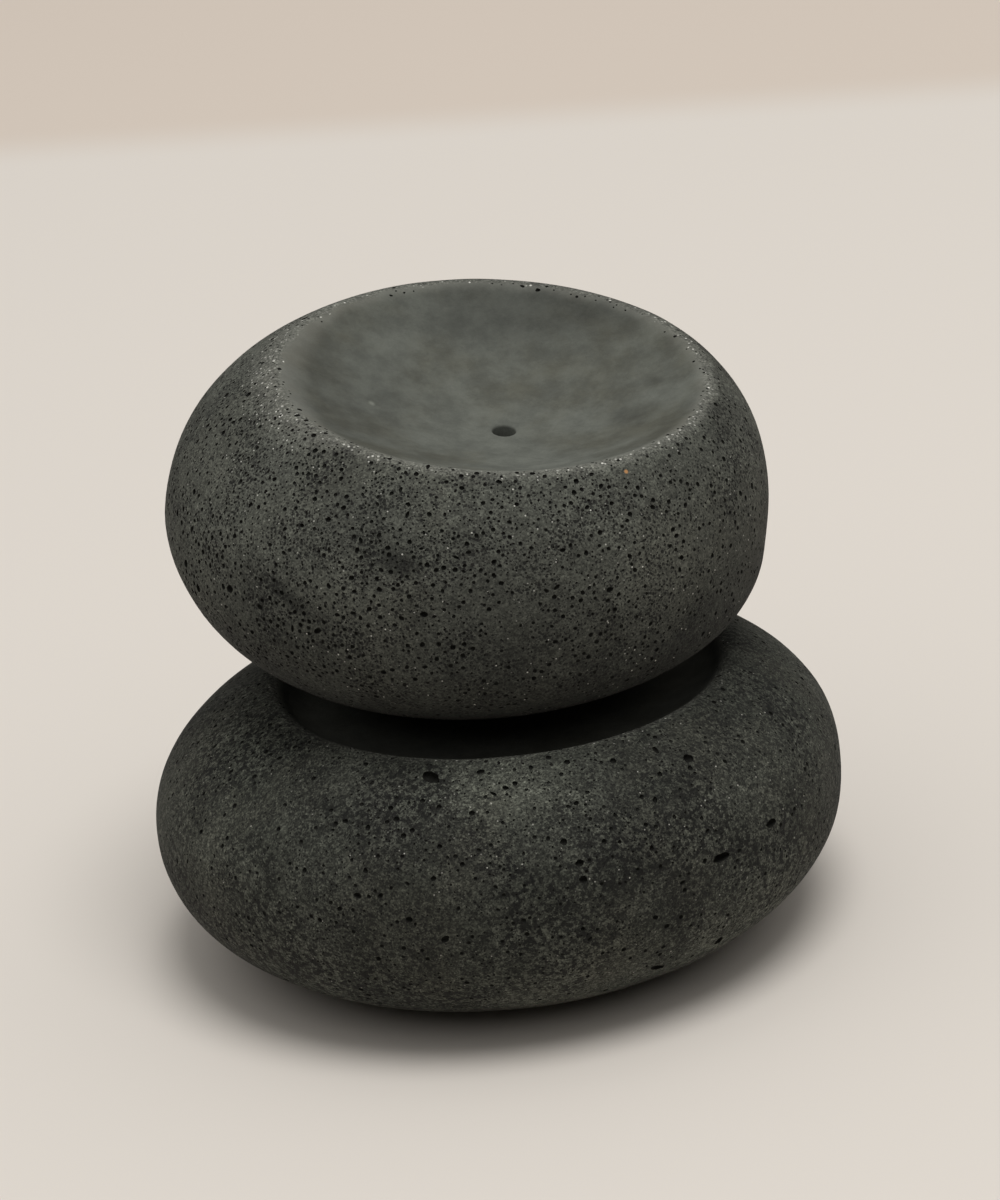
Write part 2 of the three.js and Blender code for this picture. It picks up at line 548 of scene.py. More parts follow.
poreLook = {
    "stretchFall": 0.13,
    "stretchMost": 0.6,
    "clearRing": 1.17,  # half-widths that a pore keeps to itself
    "clearGap": 0.02,
    "frontExcess": 0.3,  # how much is left of what a random one in front is too wide
    "wobble": (0.86, 1.08),  # how far the sides of an opening stray from round
    "topRise": 0.05,  # how far a cutter's top point stands over its top ring
}


def poreChance(places, areas, part, azimuth, look):
    # the chance of a place is its area times the density there
    swell = look["clusterContrast"] * (waves(places, look["clusterSize"], look["seed"] + 5)
                                       + waves(places, look["clusterSize"] / 4, look["seed"] + 6))
    chance = areas * np.choose(part, look["densityOfPart"]) * np.exp(swell)
    chance *= np.interp(places[:, 2], *look["densityByHeight"])
    chance *= np.interp(azimuth, *look["densityRound"])
    for x, y, z, reach, gain in look["clusters"]:
        chance *= 1 + gain * np.exp(-((places - (x, y, z)) ** 2).sum(1) / reach ** 2)
    return chance / chance.sum()


def poreWidths(azimuth, look, draw):
    # widths fall away exponentially, and few are wide in front, where the wide ones are named
    widths = look["smallest"] + draw.exponential(look["widthFall"], len(azimuth))
    narrowed = look["frontMost"] + poreLook["frontExcess"] * (widths - look["frontMost"])
    most = np.where(np.abs(azimuth) < look["namedReach"], narrowed, look["largest"])
    return np.minimum(np.minimum(widths, most), look["largest"])


def nearestPlace(places, normals, azimuth, turn, height):
    # the outside point nearest to an azimuth from the front and a height
    radius = np.hypot(places[:, 0], places[:, 1])
    away = np.hypot(np.radians(azimuth - turn) * radius, places[:, 2] - height)
    outwards = (normals[:, :2] * places[:, :2]).sum(1)
    return int(np.argmin(np.where(outwards > 0, away, 1e9)))


def choosePores(points, normals, areas, part, look, draw):
    # the named pores come first, and then random ones, the widest first, as long as there is room
    places, normals = points.reshape(-1, 3), normals.reshape(-1, 3)
    azimuth = np.degrees(np.arctan2(places[:, 0], -places[:, 1]))
    part = np.repeat(part, points.shape[1])
    count, tries = len(look["named"]), look["tries"]
    chance = poreChance(places, areas.reshape(-1), part, azimuth, look)
    chosen = draw.choice(len(places), size=tries, replace=False, p=chance)
    turns, heights, namedWidths, namedStretches, namedSlants = np.array(look["named"]).T
    widths = np.concatenate([namedWidths, poreWidths(azimuth[chosen], look, draw)])
    excess = np.minimum(draw.exponential(poreLook["stretchFall"], tries), poreLook["stretchMost"])
    stretches = np.concatenate([namedStretches, 1 + excess])
    slants = np.concatenate([namedSlants, draw.uniform(-90, 90, tries)])
    named = [nearestPlace(places, normals, azimuth, *spot) for spot in zip(turns, heights)]
    index = np.concatenate([named, chosen])
    places, normals = places[index], normals[index]
    reach = widths / 2 * np.sqrt(stretches) * poreLook["clearRing"] + poreLook["clearGap"]
    order = np.concatenate([np.arange(count), count + np.argsort(-widths[count:])])
    kept = keepApart(places, reach, order)
    kept = np.concatenate([kept[:count], draw.permutation(kept[count:])[:look["most"] - count]])
    return places[kept], normals[kept], widths[kept], stretches[kept], slants[kept]


def keepApart(places, reach, order):
    # takes the pores in order, and leaves out one that would meet a pore already taken
    cell = 2.5
    boxes = {}
    kept = []
    keys = np.floor(places / cell).astype(int)
    for i in order:
        x, y, z = keys[i]
        near = [k for dx in (-1, 0, 1) for dy in (-1, 0, 1) for dz in (-1, 0, 1)
                for k in boxes.get((x + dx, y + dy, z + dz), ())]
        if near:
            gaps = np.linalg.norm(places[near] - places[i], axis=1) - reach[near] - reach[i]
            if gaps.min() < 0:
                continue
        boxes.setdefault((x, y, z), []).append(i)
        kept.append(i)
    return np.array(kept)


def poreAxes(normals, slants):
    # the long and the short axis of each opening: level turned by the slant, and square to that
    level = np.cross([0.0, 0.0, 1.0], normals)
    level /= np.maximum(np.linalg.norm(level, axis=1, keepdims=True), 1e-6)
    steep = np.cross(normals, level)
    slant = np.radians(slants)[:, None]
    longAxis = level * np.cos(slant) + steep * np.sin(slant)
    return longAxis, np.cross(normals, longAxis)


def cutterPoints(pores, sides, rings, bottom, draw):
    # place + radius x (stretched cosine x long axis + narrowed sine x short axis) + depth x normal,
    # and then the two points that close the ends
    places, normals, widths, stretches, slants = pores
    longAxis, shortAxis = poreAxes(normals, slants)
    half = widths[:, None] / 2
    stretch = np.sqrt(stretches)[:, None]
    turn = np.arange(sides) / sides * 2 * math.pi
    wobble = draw.uniform(*poreLook["wobble"], (len(places), sides))
    points = np.zeros((len(places), len(rings) * sides + 2, 3))
    for r, (radius, depth) in enumerate(rings):
        out = radius * half * wobble
        along = (out * np.cos(turn) * stretch)[..., None] * longAxis[:, None]
        across = (out * np.sin(turn) / stretch)[..., None] * shortAxis[:, None]
        lift = (depth * half)[..., None] * normals[:, None]
        points[:, r * sides:(r + 1) * sides] = places[:, None] + along + across + lift
    points[:, -2] = places + normals * half * (rings[0][1] + poreLook["topRise"])
    points[:, -1] = places + normals * half * bottom
    return points


def cutterFaces(sides, rings):
    # quads between the rings, and a fan to each of the two end points
    column = np.arange(sides)
    after = (column + 1) % sides
    last = (rings - 1) * sides
    top = np.stack([np.full(sides, rings * sides), column, after], -1)
    base = np.stack([np.full(sides, rings * sides + 1), last + after, last + column], -1)
    return ringQuads(rings, sides)[:, [0, 3, 2, 1]], np.concatenate([top, base])


def poreCutters(pores, draw):
    # each cutter is a stack of rings that stands through the surface, closed at both ends
    widths = pores[2]
    vertexSets, faceSets = [], []
    offset, narrowest = 0, 0
    for widest, sides, rings, bottom in poreTiers:
        chosen = np.where((widths >= narrowest) & (widths < widest))[0]
        narrowest = widest
        if len(chosen) == 0:
            continue
        points = cutterPoints([column[chosen] for column in pores], sides, rings, bottom, draw)
        starts = offset + np.arange(len(chosen))[:, None, None] * points.shape[1]
        quads, fans = cutterFaces(sides, len(rings))
        faceSets += [(starts + quads).reshape(-1, 4), (starts + fans).reshape(-1, 3)]
        vertexSets.append(points.reshape(-1, 3))
        offset += len(chosen) * points.shape[1]
    return meshFrom("cutters", np.concatenate(vertexSets) * mm, faceSets, materialIndex=1)


def carve(stone, cutterMesh, materials):
    cutter = bpy.data.objects.new("cutter", cutterMesh)
    scene.collection.objects.link(cutter)
    for material in materials:
        cutterMesh.materials.append(material)
    modifier = stone.modifiers.new("pores", "BOOLEAN")
    modifier.operation = "DIFFERENCE"
    modifier.solver = "MANIFOLD"
    modifier.object = cutter
    bpy.context.view_layer.update()
    carved = bpy.data.meshes.new_from_object(stone.evaluated_get(bpy.context.evaluated_depsgraph_get()))
    stone.modifiers.clear()
    plain = stone.data
    stone.data = carved
    carved.name = stone.name
    bpy.data.meshes.remove(plain)
    bpy.data.objects.remove(cutter)
    bpy.data.meshes.remove(cutterMesh)


# looks of the two stones

lowerPores = {
    "seed": 31,
    "tries": 7500,
    "most": 4300,
    "smallest": 0.26,
    "widthFall": 0.11,
    "largest": 1.4,
    "densityOfPart": (0, 0.0, 0.45, 1, 1, 0.4),  # hole, dish, lip, crown, belly, foot
    "densityByHeight": ((0, 8, 16, 24, 38), (0.3, 0.45, 0.75, 1.0, 1.25)),
    "densityRound": ((-180, -95, -50, -10, 25, 60, 110, 180), (0.7, 0.7, 0.8, 1.0, 0.9, 0.5, 0.6, 0.7)),
    "clusterSize": 14.0,
    "clusterContrast": 0.7,
    "clusters": [(0, -41.5, 31.2, 6, 0.8), (17.1, -40.8, 27.4, 6, 0.6)],  # x, y, z, reach and how many more
    "namedReach": 70,  # degrees each side of the front where the named ones are the big ones
    "frontMost": 0.7,
    # degrees round from the front, height, width, stretch and slant
    "named": [
        (-43, 32.4, 0.6, 1.7, -20), (-32.5, 32.9, 0.6, 1.1, 0), (-27.5, 22.7, 0.7, 1.3, 30),
        (-26.5, 33.7, 0.6, 1.1, 0), (-24.5, 24.6, 0.9, 1.3, -10), (-22.5, 24.6, 0.6, 1.1, 0),
        (-20.5, 24.8, 0.7, 1.4, 50), (-20.5, 32.4, 0.6, 1.1, 0), (-19, 32.8, 0.8, 1.1, 0),
        (-17, 29.3, 0.6, 1.1, 0), (-16, 21.9, 0.9, 1.1, 0), (-15.5, 31.8, 0.7, 1.1, 0),
        (-14.5, 34.4, 0.7, 1.1, 0), (-13.5, 36.2, 2.1, 1.7, -30), (-10.5, 19.2, 1, 1.3, 40),
        (-8, 23.3, 0.6, 1.3, 60), (-8, 29.3, 0.6, 1.1, 0), (-5, 33.3, 0.8, 1.1, 0),
        (-4, 29.8, 0.6, 1.4, -40), (-3, 36.5, 0.9, 1.4, 20), (-0.5, 34.7, 0.7, 2.4, -40),
        (7.5, 36.4, 0.7, 1.3, 80), (10, 29.6, 0.9, 1.1, 0), (12, 17.1, 0.6, 1.8, 40), (12, 25, 1, 1.1, 0),
        (12, 27, 1, 1.3, 10), (15, 36.3, 0.8, 1.1, 0), (24, 35.6, 0.9, 1.1, 0), (25, 8.7, 1.6, 2.4, -30),
        (28.5, 21.2, 0.7, 1.4, 10), (33.5, 35.3, 0.9, 1.7, -90), (36.5, 22.5, 1.8, 2.3, 0),
        (38, 9.3, 1.5, 1.3, -60), (38.5, 33.7, 1.3, 1.1, 0), (48.5, 23.4, 1.5, 2, 0),
    ],
}

upperPores = {
    "seed": 52,
    "tries": 12000,
    "most": 6300,
    "smallest": 0.27,
    "widthFall": 0.12,
    "largest": 1.3,
    "densityOfPart": (0, 0.0, 0.5, 1, 1, 0.4),
    "densityByHeight": ((33, 42, 50, 58, 74, 81), (0.3, 0.4, 0.8, 1.1, 1.0, 0.8)),
    "densityRound": ((-180, -100, -60, -10, 25, 60, 110, 180), (0.6, 0.65, 1.0, 1.1, 0.9, 0.6, 0.55, 0.6)),
    "clusterSize": 11.0,
    "clusterContrast": 0.7,
    "clusters": [(-12.7, -29.7, 66.4, 3.2, 1.6), (-17.7, -30.3, 55.1, 4, 3.5), (-26.6, -23.9, 59.3, 6, 0.7)],
    "namedReach": 68,
    "frontMost": 0.6,
    "named": [
        (-60.5, 77.7, 0.7, 1.1, 0), (-57, 58.7, 1.1, 1.1, 0), (-48.5, 57.5, 0.8, 1.3, -20),
        (-48, 76.5, 0.7, 1.1, 0), (-45, 62.2, 0.6, 1.7, -40), (-40.5, 55.5, 0.7, 2.4, 80),
        (-38.5, 71.5, 0.6, 1.4, -60), (-34.5, 55.5, 0.9, 1.7, 30), (-31.5, 61.5, 0.7, 1.3, -60),
        (-28, 61.3, 0.6, 1.1, 0), (-25.5, 60.9, 0.6, 1.3, 0), (-24.5, 66.9, 0.7, 1.7, -70),
        (-22.5, 58.8, 0.7, 1.3, 40), (-20, 61.3, 0.7, 1.1, 0), (-14, 69.6, 0.7, 1.9, 70),
        (-11, 58.1, 0.9, 1.4, -10), (-9.5, 74, 0.8, 2.4, 30), (-4.5, 72.6, 0.6, 1.1, 0),
        (-3.5, 64.7, 0.6, 2.4, -30), (-2.5, 59.3, 0.6, 1.1, 0), (4, 70.2, 0.6, 1.1, 0),
        (9, 72, 0.7, 1.5, -30), (14.5, 59.3, 0.6, 1.6, -40), (17, 59.4, 0.7, 2.2, 30),
        (18, 72.1, 0.7, 1.1, 0), (20.5, 71.7, 0.6, 1.1, 0), (28, 57.6, 0.8, 1.4, 0),
        (28.5, 64.7, 0.7, 1.1, 0), (32, 70.8, 0.6, 1.5, 20), (35.5, 65.1, 0.6, 1.1, 0),
        (42.5, 65.5, 0.7, 1.3, -40), (44, 60.3, 0.6, 1.3, -10), (45.5, 62.2, 0.7, 1.3, 10),
        (46.5, 58.4, 0.7, 1.3, -30),
    ],
}

lowerLook = {
    "seed": 7,
    "waveDepth": 0.16,
    "waveSize": 30.0,
    "darkTone": (0.029, 0.031, 0.0245, 1),
    "paleTone": (0.053, 0.0555, 0.045, 1),
    "warmTone": (0.043, 0.040, 0.030, 1),
    # painted light from the floor where the lower stone turns under
    "paintedUnderside": (4.0, 20.0, 1.5),  # heights in mm, and how much is left of the tone at the lower one
    "warmShare": 0.25,
    "dishTone": (0.062, 0.064, 0.055, 1),
    "dishWarm": (0.050, 0.050, 0.040, 1),
    # inside the pores: dust and painted shade
    "poreDustAndShade": (0.017, 0.017, 0.015, 1),
    # pinholes: painted shade for holes too small to carve
    "pinholeShade": (0.008, 0.008, 0.007, 1),
    "speckTone": (0.42, 0.41, 0.37, 1),
    "broadSize": 0.012,
    "sandDark": 0.85,  # how dark the fine sandy mottle gets
    "sandSize": 0.00042,
    "grainCell": 0.00021,
    "grainStrength": 2.0,
    "pinCell": 0.00056,
    "pinWidths": (0.08, 0.34),
    "pinStrength": 0.85,
    "pinGroups": [((15.0, -41.0, 25.0), 14.0, 0.05)],
    "pitCell": 0.00034,
    "lipPale": 0.14,
    "lipSpecks": 0.10,
    "speckGroups": [((-6.0, -39.1, 32.9), 9, 0.25)],  # place in mm, reach and how many more
    "specks": 0.14,
    "lipWide": (1.4, 1.4),  # reach of the worn band in mm, and at its far left
    # place in mm, half sizes, slant and how dark: smudges, tone patches and one painted highlight
    "smudgesAndPaintedLight": [
        ((15.1, -42.6, 24.3), (3.4, 10, 3.0), 0, 0.22),
        # painted highlight on the top of the front, which faces the light
        ((0.4, -36.9, 35.0), (12, 8, 4.0), 0, -0.5),
        ((-37.5, -19.7, 28.6), (12, 20, 16), 0, -0.25),
        ((-28.0, -10.0, 35.0), (12, 16, 9), 0, -0.4),
        ((39.0, -2.0, 30.0), (12, 18, 9), 0, -0.15),
        ((31.0, -30.0, 12.0), (13, 14, 8), 0, -0.25),
    ],
}

upperLook = {
    "seed": 19,
    "waveDepth": 0.14,
    "waveSize": 26.0,
    "darkTone": (0.059, 0.0615, 0.0515, 1),
    "paleTone": (0.089, 0.093, 0.078, 1),
    "warmTone": (0.073, 0.071, 0.0545, 1),
    # painted shade where the upper stone turns under
    "paintedUnderside": (42.0, 64.0, 0.36),
    "warmShare": 0.2,
    "dishTone": (0.106, 0.111, 0.096, 1),
    "dishWarm": (0.077, 0.077, 0.061, 1),
    # inside the pores: dust and painted shade
    "poreDustAndShade": (0.017, 0.017, 0.015, 1),
    # pinholes: painted shade for holes too small to carve
    "pinholeShade": (0.008, 0.008, 0.007, 1),
    "speckTone": (0.62, 0.61, 0.56, 1),
    "broadSize": 0.012,
    "sandDark": 0.35,
    "sandSize": 0.0005,
    "grainCell": 0.00021,
    "grainStrength": 1.35,
    "pinCell": 0.00052,
    "pinWidths": (0.10, 0.40),
    "pinStrength": 0.95,
    "pinGroups": [
        ((-12.7, -29.7, 66.4), 3.0, 0.16),
        ((-17.7, -30.3, 55.1), 5.0, 0.1),
        ((-26.6, -23.9, 59.3), 5.0, 0.06),
    ],
    "pitCell": 0.00034,
    "lipPale": 0.28,
    "lipSpecks": 0.6,
    "speckGroups": [
        ((-27.7, -12.3, 73.2), 4, 0.6),
        ((-24.2, -8.5, 77.1), 4, 0.5),
        ((17, -29.8, 62.3), 7, 0.2),
    ],
    "specks": 0.2,
    "lipWide": (1.5, 4.2),
    "smudgesAndPaintedLight": [
        ((-8.8, -31.8, 64.3), (3.5, 8, 1.7), -12, 0.65),
        ((-23.2, -26.7, 59.4), (4.6, 8, 1.1), -37, 0.55),
        ((25.8, 5.2, 71.2), (1.2, 1.2, 6), 0, 0.25),
        ((1.0, -34.0, 55.0), (15, 10, 7.5), 0, 0.25),
        ((22.1, -1, 69.3), (4.2, 3.0, 6), 0, 0.25),
        ((15.0, 24.2, 77.0), (26, 9, 12), 0, 0.38),
        ((32.9, -9.2, 69.6), (4.0, 6, 4.0), 0, 0.22),
        ((-15.7, 0.0, 74.0), (13, 22, 10), 0, 0.2),
        ((-10.8, 2.5, 73.4), (0.45, 0.6, 3), 0, -0.9),
        # painted shade down the stick hole
        ((5.2, 1.2, 61.5), (3.0, 3.0, 5.4), 0, 0.8),
        ((-9.6, 3.2, 73.1), (2.4, 1.4, 4), 0, 0.14),
    ],
    "rustGrain": (20.1, -23.6, 70.1),
}


# the cast concrete and what the two stones share of it

concreteLook = {
    "roughness": 0.88,
    "gloss": 0.3,
    "lipTone": (0.26, 0.255, 0.225, 1),
    "lipInset": 0.5,  # mm from the lip's radius in to its ridge
    "lipWander": 1.6,  # how far the edge of the dish tone strays, in mm
    "lipCalm": 0.6,  # share of the pinholes that is worn off the lip
    "dishCalm": 0.93,  # share of the sand that is missing in the dish
    "patchMore": 0.15,  # how much wider pinholes are in a patch, in cells
    "patchMean": 0.07,  # and on average
    "pitMost": 0.26,  # in cells
    "pitPatch": 1.6,  # how many times more a patch widens the pits
    "raggedSize": 0.00035,
    "raggedReach": 0.00022,
    "speckCell": 0.00062,
    "speckWidths": (0.14, 0.12),  # in cells, and how much more on the lip
    "rustTone": (0.42, 0.22, 0.09, 1),
    "rustReach": 0.32,  # mm
    "bumpStrength": 0.6,
    "bumpDepth": 0.00012,
    "bumpSand": 0.35,
}

# size in metres, shift, detail and roughness of each kind of cloud
concreteClouds = {
    "middle": (0.0028, (0.3, 0.1, 0.2), 4.0, 0.6),
    "warm": (0.008, (0.8, 0.3, 0.5), 3.0, 0.55),
    "sandyZone": (0.010, (0.1, 0.9, 0.3), 2.0, 0.55),
    "dish": (0.0085, (0.7, 0.4, 0.9), 5.0, 0.6),
    "smallDish": (0.0022, (0.6, 0.8, 0.2), 5.0, 0.7),
    "lipEdge": (0.0013, (0.4, 0.4, 0.1), 3.0, 0.55),
    "pinPatches": (0.0035, (0.5, 0.6, 0.1), 4.0, 0.55),
}


def cloudNode(tree, coords, cloud):
    size, shift, detail, roughness = cloud
    return noiseNode(tree, shiftedCoords(tree, coords, shift), size, detail, roughness)


def raggedCoords(tree, coords, size, reach):
    # coordinates pushed about by fine noise, which gives round things ragged edges
    noise = tree.nodes.new("ShaderNodeTexNoise")
    noise.inputs["Scale"].default_value = 1 / size
    noise.inputs["Detail"].default_value = 1.0
    tree.links.new(coords, noise.inputs["Vector"])
    push = tree.nodes.new("ShaderNodeVectorMath")
    push.operation = "MULTIPLY_ADD"
    tree.links.new(noise.outputs["Color"], push.inputs[0])
    push.inputs[1].default_value = (reach, reach, reach)
    tree.links.new(coords, push.inputs[2])
    return push.outputs[0]


def localPlace(tree, coords, centre, turn, sizes):
    # coords seen from a centre, turned back by turn and divided by sizes
    node = tree.nodes.new("ShaderNodeMapping")
    node.vector_type = "TEXTURE"
    node.inputs["Location"].default_value = [value * mm for value in centre]
    node.inputs["Rotation"].default_value = turn
    node.inputs["Scale"].default_value = [value * mm for value in sizes]
    tree.links.new(coords, node.inputs["Vector"])
    return node.outputs[0]


def lengthOf(tree, vector):
    node = tree.nodes.new("ShaderNodeVectorMath")
    node.operation = "LENGTH"
    tree.links.new(vector, node.inputs[0])
    return node.outputs["Value"]


def awayFrom(tree, coords, place, reach):
    # the distance from a place, as a share of the reach, both in mm
    return lengthOf(tree, localPlace(tree, coords, place, (0, 0, 0), (reach, reach, reach)))


def lipMasks(tree, coords, form, lipFrame, look):
    # inside: 1 within the ridge of the lip. wear: 1 on the ridge, fading away over the worn band.
    radius, floor = form["dishWidth"] / 2, -form["dishDepth"]
    place = lipFrame[:3, 3]
    turn = mathutils.Matrix(lipFrame.tolist()).to_euler("XYZ")
    around = lengthOf(tree, localPlace(tree, coords, place, turn, (1, 1, 1e6)))  # flattened along Z
    split = tree.nodes.new("ShaderNodeSeparateXYZ")
    tree.links.new(localPlace(tree, coords, place, turn, (1, 1, 1)), split.inputs[0])
    rightwards, rise = split.outputs["X"], split.outputs["Z"]

    uneven = minus(tree, cloudNode(tree, coords, concreteClouds["lipEdge"]), 0.5)
    edge = plus(tree, around, times(tree, uneven, concreteLook["lipWander"]))
    ridge = radius - concreteLook["lipInset"]
    inside = rangeNode(tree, edge, ridge - 0.5, ridge + 0.5, 1.0, 0.0)
    inside = times(tree, inside, rangeNode(tree, rise, floor - 4, floor - 2))

    left = rangeNode(tree, rightwards, -radius * 0.62, -radius * 0.98)
    narrow, wide = look["lipWide"]
    reach = plus(tree, narrow, times(tree, left, wide - narrow))
    outwards = minus(tree, edge, ridge + 0.2)
    squares = plus(tree, times(tree, outwards, outwards), times(tree, rise, rise))
    away = mathNode(tree, "DIVIDE", mathNode(tree, "SQRT", squares), reach)
    return inside, rangeNode(tree, away, 0.15, 1.6, 1.0, 0.0)


def outerTone(tree, coords, look):
    # cloudy tones with warmer patches, and a fine dark sandy mottle over them
    broad = noiseNode(tree, coords, look["broadSize"], 4.0, 0.6)
    middle = cloudNode(tree, coords, concreteClouds["middle"])
    mottle = plus(tree, times(tree, broad, 0.55), times(tree, middle, 0.45))
    tone = mixColour(tree, rangeNode(tree, mottle, 0.38, 0.62), look["darkTone"], look["paleTone"])
    warm = rangeNode(tree, cloudNode(tree, coords, concreteClouds["warm"]), 0.45, 0.65)
    tone = mixColour(tree, times(tree, warm, look["warmShare"]), tone, look["warmTone"])
    sandy = cloudNode(tree, coords, (look["sandSize"], (0.2, 0.7, 0.4), 4.0, 0.7))
    zone = rangeNode(tree, cloudNode(tree, coords, concreteClouds["sandyZone"]), 0.4, 0.6, 0.35, 1.0)
    darkening = times(tree, rangeNode(tree, sandy, 0.525, 0.455), times(tree, zone, look["sandDark"]))
    return shadeBy(tree, tone, minus(tree, 1.0, darkening))


def dishTones(tree, coords, look):
    # softly clouded, grey and olive
    cloud = rangeNode(tree, cloudNode(tree, coords, concreteClouds["dish"]), 0.36, 0.62)
    small = rangeNode(tree, cloudNode(tree, coords, concreteClouds["smallDish"]), 0.3, 0.7, 0.8, 1.2)
    return shadeBy(tree, mixColour(tree, cloud, look["dishWarm"], look["dishTone"]), small)


def paintedUndersideShade(tree, coords, look):
    # painted shade and light where the stone turns under: 1 above, and the look's factor at the bottom,
    # below 1 for painted shade and over 1 for painted light
    low, high, under = look["paintedUnderside"]
    split = tree.nodes.new("ShaderNodeSeparateXYZ")
    tree.links.new(coords, split.inputs[0])
    return rangeNode(tree, split.outputs["Z"], low * mm, high * mm, under, 1.0)


def smudgeOrPaintedLight(tree, coords, mark):
    # a smudge or tone patch is darker in the middle, and a pale place has a strength below 0; a few of them
    # are painted light and shade
    place, sizes, slant, strength = mark
    away = lengthOf(tree, localPlace(tree, coords, place, (0, -math.radians(slant), 0), sizes))
    return rangeNode(tree, away, 0.2, 1.3, 1 - strength, 1.0)


def addGroups(tree, coords, groups, amount):
    # each group adds its own share round a place
    for place, reach, more in groups:
        near = rangeNode(tree, awayFrom(tree, coords, place, reach), 0.3, 1.2, more, 0.0)
        amount = plus(tree, amount, near)
    return amount


def sandGrains(tree, coords, look):
    # a number from -0.5 to 0.5 for each grain, in two sizes
    small = cellNode(tree, coords, look["grainCell"])[1]
    large = cellNode(tree, shiftedCoords(tree, coords, (0.6, 0.5, 0.7)), look["grainCell"] * 1.8)[1]
    return minus(tree, plus(tree, times(tree, small, 0.7), times(tree, large, 0.3)), 0.5)


def pinholes(tree, coords, look):
    # ragged holes too small to carve, and pits still smaller, both larger in patches
    low, high = [width - concreteLook["patchMean"] for width in look["pinWidths"]]
    cloud = cloudNode(tree, coords, concreteClouds["pinPatches"])
    patches = rangeNode(tree, cloud, 0.40, 0.62, 0.0, concreteLook["patchMore"])
    patches = addGroups(tree, coords, look["pinGroups"], patches)
    ragged = raggedCoords(tree, coords, concreteLook["raggedSize"], concreteLook["raggedReach"])
    away, pick = cellNode(tree, shiftedCoords(tree, ragged, (0.11, 0.23, 0.37)), look["pinCell"])[:2]
    width = plus(tree, patches, rangeNode(tree, pick, 0.0, 1.0, low, high, smooth=False))
    pins = rangeNode(tree, minus(tree, away, width), -0.04, 0.04, 1.0, 0.0)
    away, pick = cellNode(tree, shiftedCoords(tree, ragged, (0.41, 0.33, 0.17)), look["pitCell"])[:2]
    own = rangeNode(tree, pick, 0.0, 1.0, concreteLook["pitMost"], 0.0, smooth=False)
    width = plus(tree, times(tree, patches, concreteLook["pitPatch"]), own)
    pits = rangeNode(tree, minus(tree, away, width), -0.05, 0.08, 0.8, 0.0)
    return mathNode(tree, "MAXIMUM", pins, pits)


def paleSpecks(tree, coords, look, outside, wear):
    # pale grains of sand, more and wider on the worn lip
    shifted = shiftedCoords(tree, coords, (0.9, 0.2, 0.6))
    away, pick, glow = cellNode(tree, shifted, concreteLook["speckCell"])
    share = plus(tree, look["specks"], times(tree, wear, look["lipSpecks"]))
    share = addGroups(tree, coords, look["speckGroups"], share)
    chosen = mathNode(tree, "LESS_THAN", pick, times(tree, share, outside))
    width, more = concreteLook["speckWidths"]
    width = plus(tree, width, times(tree, wear, more))
    specks = rangeNode(tree, minus(tree, away, width), -0.05, 0.08, 1.0, 0.0)
    return times(tree, specks, times(tree, chosen, mathNode(tree, "POWER", glow, 1.6)))


def addBump(tree, shader, height):
    bump = tree.nodes.new("ShaderNodeBump")
    bump.inputs["Strength"].default_value = concreteLook["bumpStrength"]
    bump.inputs["Distance"].default_value = concreteLook["bumpDepth"]
    tree.links.new(height, bump.inputs["Height"])
    tree.links.new(bump.outputs[0], shader.inputs["Normal"])


def concreteMaterial(name, look, form, lipFrame):
    material, shader, coords = newMaterial(name, concreteLook["roughness"], concreteLook["gloss"])
    tree = material.node_tree
    inside, wear = lipMasks(tree, coords, form, lipFrame, look)
    outside = minus(tree, 1.0, inside)
    tone = mixColour(tree, inside, outerTone(tree, coords, look), dishTones(tree, coords, look))
    # painted shade under the upper stone and painted light under the lower one, where each turns under
    tone = shadeBy(tree, tone, paintedUndersideShade(tree, coords, look))
    # smudges and tone patches, with painted shade in the stick hole and a painted highlight among them
    for mark in look["smudgesAndPaintedLight"]:
        tone = shadeBy(tree, tone, smudgeOrPaintedLight(tree, coords, mark))
    tone = mixColour(tree, times(tree, wear, look["lipPale"]), tone, concreteLook["lipTone"])

    # the tone is times e to the power of the sand, and the dish has hardly any sand
    sand = sandGrains(tree, coords, look)
    sandy = minus(tree, 1.0, times(tree, inside, concreteLook["dishCalm"]))
    power = times(tree, sand, times(tree, look["grainStrength"], sandy))
    tone = shadeBy(tree, tone, mathNode(tree, "POWER", math.e, power))

    calm = minus(tree, outside, times(tree, wear, concreteLook["lipCalm"]), clamp=True)
    pins = times(tree, pinholes(tree, coords, look), times(tree, calm, look["pinStrength"]), clamp=True)
    # pinholes and pits painted near black: painted shade for holes too small to carve
    tone = mixColour(tree, pins, tone, look["pinholeShade"])
    tone = mixColour(tree, paleSpecks(tree, coords, look, outside, wear), tone, look["speckTone"])
    if "rustGrain" in look:
        away = awayFrom(tree, coords, look["rustGrain"], concreteLook["rustReach"])
        tone = mixColour(tree, rangeNode(tree, away, 0.5, 1.1, 1.0, 0.0), tone, concreteLook["rustTone"])
    tree.links.new(tone, shader.inputs["Base Color"])
    addBump(tree, shader, minus(tree, times(tree, sand, concreteLook["bumpSand"]), pins))
    return material


def poreMaterial(name, look):
    # the inside of a pore: dust, and painted shade that makes it darker than its hollow alone, with a fine
    # mottle
    material, shader, coords = newMaterial(name, 0.95, 0.05)
    tree = material.node_tree
    fine = noiseNode(tree, coords, 0.0003, 2.0)
    tone = shadeBy(tree, look["poreDustAndShade"], rangeNode(tree, fine, 0.3, 0.7, 0.7, 1.3))
    tree.links.new(tone, shader.inputs["Base Color"])
    return material


# rings and columns of the mesh, and of the finer grid that offers places for the pores

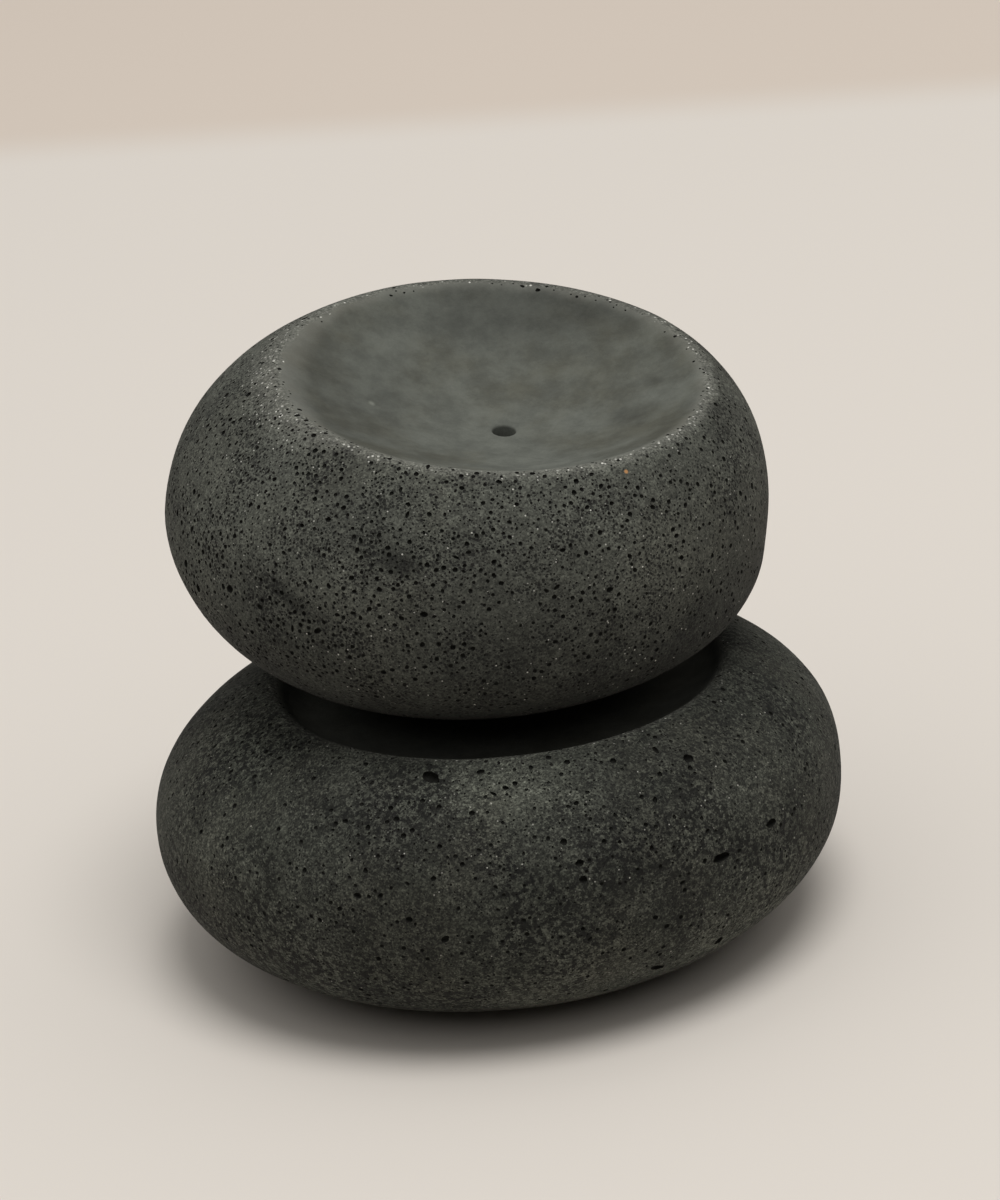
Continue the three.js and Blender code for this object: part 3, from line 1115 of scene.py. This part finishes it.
meshSteps = {
    "round": 176, "hole": 6, "mouth": 3, "dish": 14, "lip": 6, "crown": 28, "belly": 28, "foot": 4,
}
placeSteps = {
    "round": 1100, "hole": 6, "mouth": 3, "dish": 40, "lip": 16, "crown": 200, "belly": 200, "foot": 60,
}
sharpFrom = 40  # degrees between two faces, from which their edge stays sharp


def stoneSurface(form, seat, look, steps):
    # the points with the soft wave in them, and their normals, areas and parts
    points, part = stoneGrid(form, seat, steps)
    normals, areas = gridNormals(points)
    return sinkBy(points, normals, part, look), normals, areas, part


def finishMesh(name, mesh):
    mesh.polygons.foreach_set("use_smooth", np.ones(len(mesh.polygons), bool))
    mesh.set_sharp_from_angle(angle=math.radians(sharpFrom))
    mesh.calc_loop_triangles()
    slots = np.empty(len(mesh.polygons), np.int32)
    mesh.polygons.foreach_get("material_index", slots)
    print(name, "carved:", len(mesh.loop_triangles), "triangles,", int((slots == 1).sum()), "faces in pores")


def buildStone(name, form, seat, look, pores):
    draw = np.random.default_rng(pores["seed"])
    mesh = gridMesh(name, stoneSurface(form, seat, look, meshSteps)[0])
    stone = bpy.data.objects.new(name, mesh)
    scene.collection.objects.link(stone)
    sizes = deriveSizes(form)
    lipFrame = seat @ ringFrames(sizes["lipLevel"], form, sizes)
    concrete = concreteMaterial(name + "Concrete", look, form, lipFrame)
    materials = [concrete, poreMaterial(name + "Pores", look)]
    for material in materials:
        mesh.materials.append(material)
    chosen = choosePores(*stoneSurface(form, seat, look, placeSteps), pores, draw)
    print(name, "has", len(chosen[0]), "pores")
    carve(stone, poreCutters(chosen, draw), materials)
    finishMesh(name, stone.data)
    return stone


def seatPlace():
    # the foot stands on the floor of the seat, level with its lip
    sizes = deriveSizes(lowerForm)
    right, back = seatForm["footPlace"]
    rise = seatForm["gap"] - lowerForm["dishDepth"]
    return ringFrames(sizes["lipLevel"], lowerForm, sizes) @ moveBy(right, back, rise)


lowerStone = buildStone("lowerStone", lowerForm, np.eye(4), lowerLook, lowerPores)
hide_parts("lower_stone")
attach(lowerStone, "lower_stone")

upperStone = buildStone("upperStone", upperForm, seatPlace(), upperLook, upperPores)
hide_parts("upper_stone")
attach(upperStone, "upper_stone")
print("both stones made")
